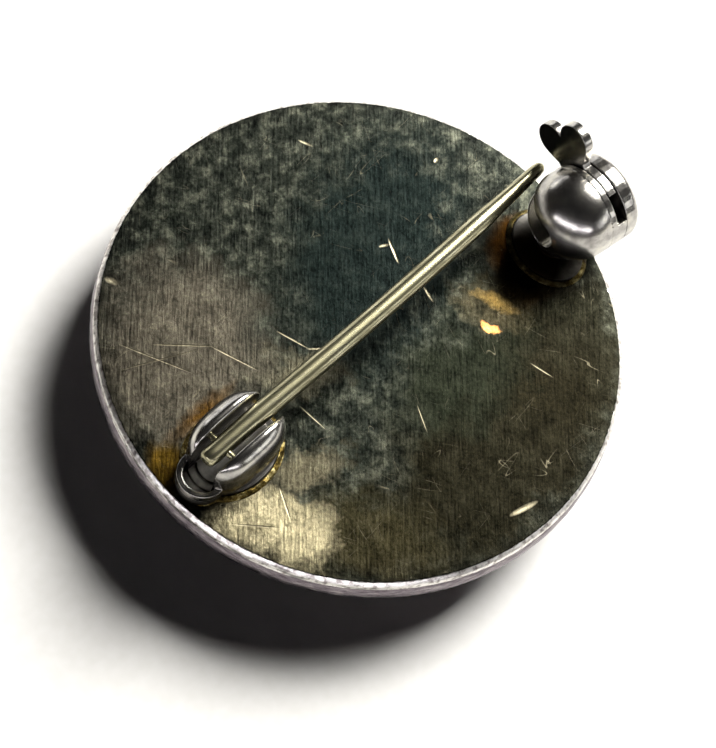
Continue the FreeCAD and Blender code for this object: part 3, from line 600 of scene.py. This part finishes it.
# %% Turn the stone
low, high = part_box("stone")
STONE_RADIUS, STONE_BACK, STONE_LOW = high.x / MM, high.z / MM, low.z / MM
GIRDLE_LOW, GROUND_RADIUS = -1.45, 6.27     # where the dome starts, and the radius of the small flat
dome_middle = ((STONE_RADIUS ** 2 - GROUND_RADIUS ** 2 + GIRDLE_LOW ** 2 - STONE_LOW ** 2)
               / (2 * (GIRDLE_LOW - STONE_LOW)))
dome_radius = math.hypot(STONE_RADIUS, GIRDLE_LOW - dome_middle)
first, last = math.asin(STONE_RADIUS / dome_radius), math.asin(GROUND_RADIUS / dome_radius)
dome = [(dome_radius * math.sin(a), dome_middle - dome_radius * math.cos(a))
        for a in (first + (last - first) * i / 40 for i in range(41))]
back = [(0.0, STONE_BACK), (STONE_RADIUS - 0.1, STONE_BACK), (STONE_RADIUS, STONE_BACK - 0.1)]
stone = turned("onyx_cabochon", back + dome + [(GROUND_RADIUS * 0.9, STONE_LOW), (0.0, STONE_LOW)])
fit(stone, "stone", "root", onyx)
frame["nodes"]["backing_card"].data.materials.clear()
frame["nodes"]["backing_card"].data.materials.append(card)
print("dome radius in mm:", round(dome_radius, 2))

# %% [markdown]
# ## Easing the edges of the stamped fittings
# Stamped and tumbled metal has no sharp edge. The CAD solids do, so each is copied, filled with tiny
# voxels and lightly smoothed: every outer edge rounds over by about a twentieth of a millimetre, and
# inner corners fill like a fillet. The Remesh modifier can't take a voxel this small in metres, so the
# copy is worked in millimetres and scaled back.

# %% Copy, remesh and smooth
def tumbled(source, name, voxel, passes, in_metres=False):
    """A copy of a mesh with its edges eased, left in millimetres."""
    data = source.copy()
    if in_metres:
        data.transform(Matrix.Scale(1 / MM, 4))
    piece = placed(name, data)
    remesh = piece.modifiers.new("fill", "REMESH")
    remesh.mode, remesh.voxel_size = "VOXEL", voxel
    smooth = piece.modifiers.new("tumble", "SMOOTH")
    smooth.factor, smooth.iterations = 0.5, passes
    ready = piece.evaluated_get(bpy.context.evaluated_depsgraph_get())
    solid = bpy.data.meshes.new_from_object(ready)
    piece.modifiers.clear()
    piece.data = solid
    return piece


def settle(piece):
    """Back from millimetres to metres, with smooth shading."""
    piece.data.transform(Matrix.Scale(MM, 4))
    for face in piece.data.polygons:
        face.use_smooth = True
    piece.data.update()
    return piece


FINE_VOXEL, COARSE_VOXEL = 0.028, 0.035
print("voxels of", FINE_VOXEL, "and", COARSE_VOXEL, "mm")

# %% [markdown]
# ## The ball joint
# Two cheeks, like a split coffee bean, stand on a foot with a low lip behind them, and the pin's rounded
# end turns between them on a rivet. The joint is drawn in its own axes, with its slot along the first,
# and one matrix then moves it to where the frame's hinge is. Foot, lip and cheeks are simple closed
# solids that overlap; filling them with voxels joins them.

# %% The joint's own axes, and solids through rings
joint_hinge = next(j for j in frame["joints"] if j["name"] == "stem_swing")
RIVET_AT = Vector(joint_hinge["pos_m"]) / MM
ALONG_SLOT = Vector((-joint_hinge["axis"][1], joint_hinge["axis"][0], 0))
RIVET_BACK = 1.1                    # the rivet lies this far behind the joint's middle
JOINT_MIDDLE = Vector((RIVET_AT.x, RIVET_AT.y, 0)) + ALONG_SLOT * RIVET_BACK
to_joint = (Matrix.Translation(JOINT_MIDDLE)
            @ Matrix.Rotation(math.atan2(ALONG_SLOT.y, ALONG_SLOT.x), 4, "Z"))


def loft(mesh, sections):
    """A closed solid through rings of points, each with the same count."""
    rings = [[mesh.verts.new(point) for point in ring] for ring in sections]
    for ring, following in zip(rings, rings[1:]):
        for i in range(len(ring)):
            mesh.faces.new([ring[i], ring[(i + 1) % len(ring)],
                            following[(i + 1) % len(ring)], following[i]])
    mesh.faces.new(rings[0][::-1])
    mesh.faces.new(rings[-1])


def slab(mesh, outline, bottom, top):
    """An outline raised straight up from one height to another."""
    loft(mesh, [[(x, y, z) for x, y in outline] for z in (bottom, top)])


def oval(middle, half_long, half_wide, start=0.0, end=math.tau, steps=64):
    """Points round an ellipse, or round a stretch of it from one turn to another."""
    return [(middle + half_long * math.cos(start + (end - start) * i / steps),
             half_wide * math.sin(start + (end - start) * i / steps)) for i in range(steps)]


print("joint middle in mm:", [round(v, 2) for v in JOINT_MIDDLE])

# %% [markdown]
# ## One cheek
# A cheek is drawn as a row of cross-sections along the slot: up the slot's wall, over a soft inner edge,
# across the dome and down the outer side. The dome follows a superellipse, fuller than an ellipse, so it
# closes over the rivet's ends as the real stamping does. A cut sphere would leave them showing.

# %% Draw a cheek
CHEEK_LONG, CHEEK_WIDE, CHEEK_TALL, CHEEK_FOOT = 2.3, 1.75, 1.64, 1.70    # the last is where its dome starts
FULLNESS = 2.7                      # 2 is an ellipse, more is fuller
SLOT_HALF = 0.74
INNER_EDGE = 0.36                   # how soft the slot's upper edge is
SECTIONS = 60


def dome_height(s, w):
    """How high the cheek's outside stands at s along the slot and w across it."""
    rest = 1 - abs(s / CHEEK_LONG) ** FULLNESS - abs(w / CHEEK_WIDE) ** FULLNESS
    return CHEEK_FOOT + CHEEK_TALL * max(0.0, rest) ** (1 / FULLNESS)


def cheek(mesh, side):
    """One cheek as a closed solid, on side -1 or 1 of the slot."""
    sections = []
    reach = CHEEK_LONG * (1 - (SLOT_HALF / CHEEK_WIDE) ** FULLNESS) ** (1 / FULLNESS)
    for i in range(SECTIONS + 1):
        s = -reach * math.cos(math.pi * i / SECTIONS) * 0.999
        outer = CHEEK_WIDE * (1 - abs(s / CHEEK_LONG) ** FULLNESS) ** (1 / FULLNESS)
        soft = min(INNER_EDGE, (outer - SLOT_HALF) * 0.5)
        ring = [(s, SLOT_HALF, 0.2)]
        for k in range(7):
            turn = math.pi / 2 * k / 6
            w = SLOT_HALF + soft * (1 - math.cos(turn))
            ring.append((s, w, dome_height(s, w) - soft * (1 - math.sin(turn))))
        for k in range(1, 20):
            w = SLOT_HALF + soft + (outer - SLOT_HALF - soft) * math.sin(math.pi / 2 * k / 19)
            ring.append((s, w, dome_height(s, min(w, outer * 0.9999))))
        ring += [(s, outer * 0.985, 1.0), (s, outer * 0.95, 0.2)]
        sections.append([(x, w * side, z) for x, w, z in ring])
    loft(mesh, sections)


print("a cheek is", CHEEK_LONG * 2, "mm long and", round(CHEEK_FOOT + CHEEK_TALL, 2), "mm tall")

# %% [markdown]
# ## Foot, lip and cheeks together
# The foot is two ovals stacked into a step. The lip is a low U-shaped wall behind it, open towards the
# pin. They are joined to the cheeks by the same filling and smoothing that rounds their edges, as
# stamping and tumbling does on the real piece.

# %% Make the joint
LIP_BACK, LIP_RADIUS, LIP_WALL, LIP_TALL = -2.05, 0.92, 0.28, 1.0
solids = bmesh.new()
slab(solids, oval(0, CHEEK_LONG + 0.12, CHEEK_WIDE + 0.12), 0.0, 0.34)
slab(solids, oval(0, CHEEK_LONG - 0.3, CHEEK_WIDE - 0.4), 0.1, 0.45)
slab(solids, oval(LIP_BACK, LIP_RADIUS + LIP_WALL, LIP_RADIUS + LIP_WALL), 0.0, 0.30)
mouth_turn = math.radians(64)
slab(solids, oval(LIP_BACK, LIP_RADIUS + LIP_WALL, LIP_RADIUS + LIP_WALL, mouth_turn, math.tau - mouth_turn)
     + oval(LIP_BACK, LIP_RADIUS, LIP_RADIUS, math.tau - mouth_turn, mouth_turn), 0.0, LIP_TALL)
for side in (-1, 1):
    cheek(solids, side)
joint_data = mesh_data(solids, "split_ball_joint")
joint_data.transform(to_joint)
joint = settle(tumbled(joint_data, "split_ball_joint", FINE_VOXEL, 4))
fit(joint, "joint_ball", "root", fitting_silver)

# %% [markdown]
# ## The rivet
# The pin turns on a short wire that is closed off in the two cheeks, so only the length inside the slot
# could ever be seen. It is drawn thinner than a real rivet, which keeps its ends inside the cheeks.

# %% Make the rivet
RIVET_RADIUS, RIVET_HALF = 0.17, 1.0
shank = bmesh.new()
loft(shank, [[(radius * math.cos(math.tau * k / 32), w, radius * math.sin(math.tau * k / 32))
              for k in range(32)]
             for w, radius in ((-RIVET_HALF, 0.6 * RIVET_RADIUS), (0.05 - RIVET_HALF, RIVET_RADIUS),
                               (RIVET_HALF - 0.05, RIVET_RADIUS), (RIVET_HALF, 0.6 * RIVET_RADIUS))])
shank_data = mesh_data(shank, "joint_rivet_pin")
shank_data.transform(Matrix.Translation(RIVET_AT)
                     @ Matrix.Rotation(math.atan2(ALONG_SLOT.y, ALONG_SLOT.x), 4, "Z"))
rivet = settle(placed("joint_rivet_pin", shank_data))
fit(rivet, "joint_rivet", "rivet", nickel_silver)

# %% [markdown]
# ## The pin stem
# The pin is one round wire: its near end is cut off and rounded behind the rivet, its far end is drawn
# down in two steps and pointed. Years of use gave it a slight set, so its middle bows sideways by an
# eighth of a millimetre. It is made as rings along a line. The line carries the bow and each ring the
# wire's radius there, so both are smooth at any zoom.

# %% Draw the wire's rings
BOW = 0.13          # millimetres that its middle stands aside
tip_s = (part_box("pin_stem")[1].x / MM - RIVET_AT.x) / ALONG_SLOT.x
# Each entry: millimetres ahead of the rivet, and the wire's radius there.
WIRE = [(-1.06, 0.02), (-1.06, 0.26), (-1.03, 0.33), (-0.95, 0.39), (-0.70, 0.44), (0.60, 0.47),
        (2.2, 0.495), (5.0, 0.50), (tip_s - 5.0, 0.50), (tip_s - 4.2, 0.47), (tip_s - 3.6, 0.42),
        (tip_s - 1.6, 0.36), (tip_s - 0.50, 0.33), (tip_s - 0.22, 0.28), (tip_s - 0.06, 0.15),
        (tip_s, 0.01)]
ACROSS_SLOT = Vector((-ALONG_SLOT.y, ALONG_SLOT.x, 0))
UP = Vector((0, 0, 1))
wire = bmesh.new()
sections = []
for (s, radius), (next_s, next_radius) in zip(WIRE, WIRE[1:] + [(tip_s + 0.001, 0.004)]):
    steps = max(1, int((next_s - s) / 0.25))
    for i in range(steps):
        at, r = s + (next_s - s) * i / steps, radius + (next_radius - radius) * i / steps
        bow = BOW * math.sin(math.pi * max(0.0, at - 1.6) / (tip_s - 2.2)) if at < tip_s - 0.6 else 0.0
        middle = RIVET_AT + ALONG_SLOT * at - ACROSS_SLOT * bow
        sections.append([(middle + (ACROSS_SLOT * math.cos(math.tau * k / 40)
                                    + UP * math.sin(math.tau * k / 40)) * r) * MM for k in range(40)])
print(len(sections), "rings along", round(tip_s - WIRE[0][0], 2), "mm of wire")

# %% [markdown]
# ## The wire in its place
# To leave the catch, the real wire springs aside. Here its rings are joined into one smooth mesh that
# stays where it is drawn, and the CAD stem that it stands for is hidden.

# %% Make the pin stem
loft(wire, sections)
wire_data = mesh_data(wire, "pin_wire")
for face in wire_data.polygons:
    face.use_smooth = True
stem = placed("pin_wire", wire_data)
wire_data.materials.append(nickel_silver)
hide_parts("pin_stem")
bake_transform(stem)
print(stem.name, len(wire_data.vertices), "vertices")

# %% [markdown]
# ## The safety catch
# A hollow ball with a slot takes the pin. A lever turns inside it to close the slot, and a ring behind
# holds the lever in. Smoothing leaves the ball a little faceted where the CAD mesh was flat, which
# polish would show at once, so its outer points are set back onto the true sphere.

# %% Make the catch
ball = tumbled(frame["nodes"]["catch_ball"].data, "catch_ball_shell", FINE_VOXEL, 7, in_metres=True)
lever_hinge = next(j for j in frame["joints"] if j["name"] == "rotor_turn")
BALL_MIDDLE, BALL_RADIUS = Vector(lever_hinge["pos_m"]) / MM, 2.32    # the lever turns about the ball's middle
SNAP = 0.022          # points this close to the sphere belong to its outside
snapped = 0
for vertex in ball.data.vertices:
    out = vertex.co - BALL_MIDDLE
    if abs(out.length - BALL_RADIUS) < SNAP:
        vertex.co = BALL_MIDDLE + out.normalized() * BALL_RADIUS
        snapped += 1
print(snapped, "points set on the sphere")
fit(settle(ball), "catch_ball", "root", fitting_silver)
collar = tumbled(frame["nodes"]["catch_collar"].data, "catch_end_ring", FINE_VOXEL, 7, in_metres=True)
fit(settle(collar), "catch_collar", "root", fitting_silver)
LEVER_VOXEL = 0.024   # finer, because the heart's notch is small
lever = tumbled(frame["nodes"]["rotor_lever"].data, "heart_lever", LEVER_VOXEL, 5, in_metres=True)
fit(settle(lever), "rotor_lever", "rotor", fitting_silver)

# %% [markdown]
# ## The solder
# Each foot sits in a pool of solder. Its surface is never even, so each point moves a few hundredths of
# a millimetre up or down by a noise whose lumps are about half a millimetre wide.

# %% Make the solder
for node, name in (("joint_solder", "solder_at_joint"), ("catch_solder", "solder_at_catch")):
    pool = tumbled(frame["nodes"][node].data, name, COARSE_VOXEL, 6, in_metres=True)
    for vertex in pool.data.vertices:
        if vertex.co.z > 0.05:
            vertex.co.z = max(0.03, vertex.co.z + 0.09 * noise.noise(vertex.co * 2.1) - 0.02)
    fit(settle(pool), node, "root", flowed_solder)

# %% [markdown]
# ## The paper
# The brooch lies on its stone on a sheet of white paper. The paper is clear from its back, so that the
# stone can be looked at from below, where a solid floor would hide it.

# %% Floor
FLOOR_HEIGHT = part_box("stone")[0].z
paper, tree, place = new_material("white_uncoated_paper")
tooth = add(tree, "ShaderNodeTexNoise", {"Vector": place, "Scale": 1.5, "Detail": 8.0}).outputs["Fac"]
white = add(tree, "ShaderNodeValToRGB", {"Fac": tooth}, stops=[(0.3, "#f6f5f3"), (0.7, "#fbfaf9")])
relief = add(tree, "ShaderNodeBump", {"Height": tooth, "Distance": 0.01 * MM, "Strength": 0.5})
matt = add(tree, "ShaderNodeBsdfPrincipled", {"Base Color": white.outputs["Color"], "Roughness": 0.85,
                                              "Normal": relief.outputs["Normal"]})
clear = add(tree, "ShaderNodeBsdfTransparent")
underside = add(tree, "ShaderNodeNewGeometry").outputs["Backfacing"]
surface = add(tree, "ShaderNodeMixShader", {0: underside, 1: matt.outputs[0], 2: clear.outputs[0]})
add(tree, "ShaderNodeOutputMaterial", {"Surface": surface.outputs[0]})
sheet = bmesh.new()
PAPER_HALF = 0.6     # metres from its middle to its edge
bmesh.ops.create_grid(sheet, x_segments=8, y_segments=8, size=PAPER_HALF)
paper_data = bpy.data.meshes.new("paper")
sheet.to_mesh(paper_data)
sheet.free()
floor = placed("paper", paper_data)
floor.location.z = FLOOR_HEIGHT
paper_data.materials.append(paper)
print("floor at", round(FLOOR_HEIGHT / MM, 2), "mm")

# %% [markdown]
# ## The lamps
# One soft lamp from the right and above makes the long highlights and one soft shadow. Three weak strips
# low down give the metal something to reflect along its near and far edges. They don't light the paper,
# because a second shadow or a paler one would follow, so their diffuse light is switched off.

# %% Place the lamps
def lamp(name, azimuth, elevation, distance, wide, tall, power, screen_colour="#ffffff"):
    """A rectangular area lamp aimed at the brooch. Azimuth is from +X towards +Y."""
    data = bpy.data.lights.new(name, "AREA")
    data.shape, data.size, data.size_y = "RECTANGLE", wide, tall
    data.energy, data.color = power, linear(screen_colour)[:3]
    lamp_object = bpy.data.objects.new(name, data)
    turn, rise = math.radians(azimuth), math.radians(elevation)
    away = Vector((math.cos(turn) * math.cos(rise), math.sin(turn) * math.cos(rise), math.sin(rise)))
    lamp_object.location = away * distance
    lamp_object.rotation_euler = away.to_track_quat("Z", "Y").to_euler()
    bpy.context.scene.collection.objects.link(lamp_object)
    return lamp_object


lamp("window_lamp", 9, 41, 0.50, 0.24, 0.24, 5.8, "#fffdf8")
rim_light = lamp("rim_strip", 214, 25, 0.60, 1.3, 0.09, 1.8, "#fbf8ff")
far_strip = lamp("far_strip", 73, 9, 0.60, 0.50, 0.14, 0.42)
side_strip = lamp("side_strip", -57, 19, 0.60, 0.50, 0.12, 0.36)
for strip in (rim_light, far_strip, side_strip):
    strip.visible_diffuse = False
print("window lamp and", len((rim_light, far_strip, side_strip)), "strips")

# %% [markdown]
# ## The room
# Polished metal shows mostly what is above it, and here that is a dim ceiling. So the world is a dark
# warm grey, seen in reflections only: its diffuse light is off too, which keeps the shadow deep.

# %% Build the room
room = bpy.data.worlds.new("dim_room")
room.use_nodes = True
tree = room.node_tree
tree.nodes.clear()
direction = add(tree, "ShaderNodeTexCoord").outputs["Generated"]
rise = add(tree, "ShaderNodeSeparateXYZ", {0: direction}).outputs["Z"]
shade = add(tree, "ShaderNodeValToRGB", {"Fac": rise},
            stops=[(0.0, "#2a2521"), (0.35, "#23211f"), (0.80, "#252525")]).outputs["Color"]
back_light = add(tree, "ShaderNodeBackground", {"Color": shade, "Strength": 1.0})
add(tree, "ShaderNodeOutputWorld", {"Surface": back_light.outputs[0]})
bpy.context.scene.world = room
room.cycles_visibility.diffuse = False
bpy.context.scene.view_settings.view_transform = "Standard"
print(room.name, len(tree.nodes), "nodes")

# %% [markdown]
# ## The camera
# The camera looks steeply down on the brooch from the joint's side, through a long lens that keeps the
# near and far rims nearly the same size. It is also rolled, so the pin runs across the frame at a slant.

# %% Place the camera
camera_data = bpy.data.cameras.new("camera")
camera_data.lens, camera_data.sensor_width, camera_data.sensor_fit = 96.26, 36, "AUTO"
camera_data.clip_start, camera_data.clip_end = 0.005, 5
camera = bpy.data.objects.new("camera", camera_data)
CAMERA_AT = Vector((-38.03, -22.92, 85.14))     # millimetres
# The camera's own right, up and backward directions.
right, up, back = (0.7680, -0.6166, 0.1736), (0.5139, 0.7549, 0.4077), (-0.3824, -0.2239, 0.8965)
camera.matrix_world = Matrix.Translation(CAMERA_AT * MM) @ Matrix((right, up, back)).transposed().to_4x4()
bpy.context.scene.collection.objects.link(camera)
bpy.context.scene.camera = camera
print("camera", round(CAMERA_AT.length, 1), "mm from the disc's middle")
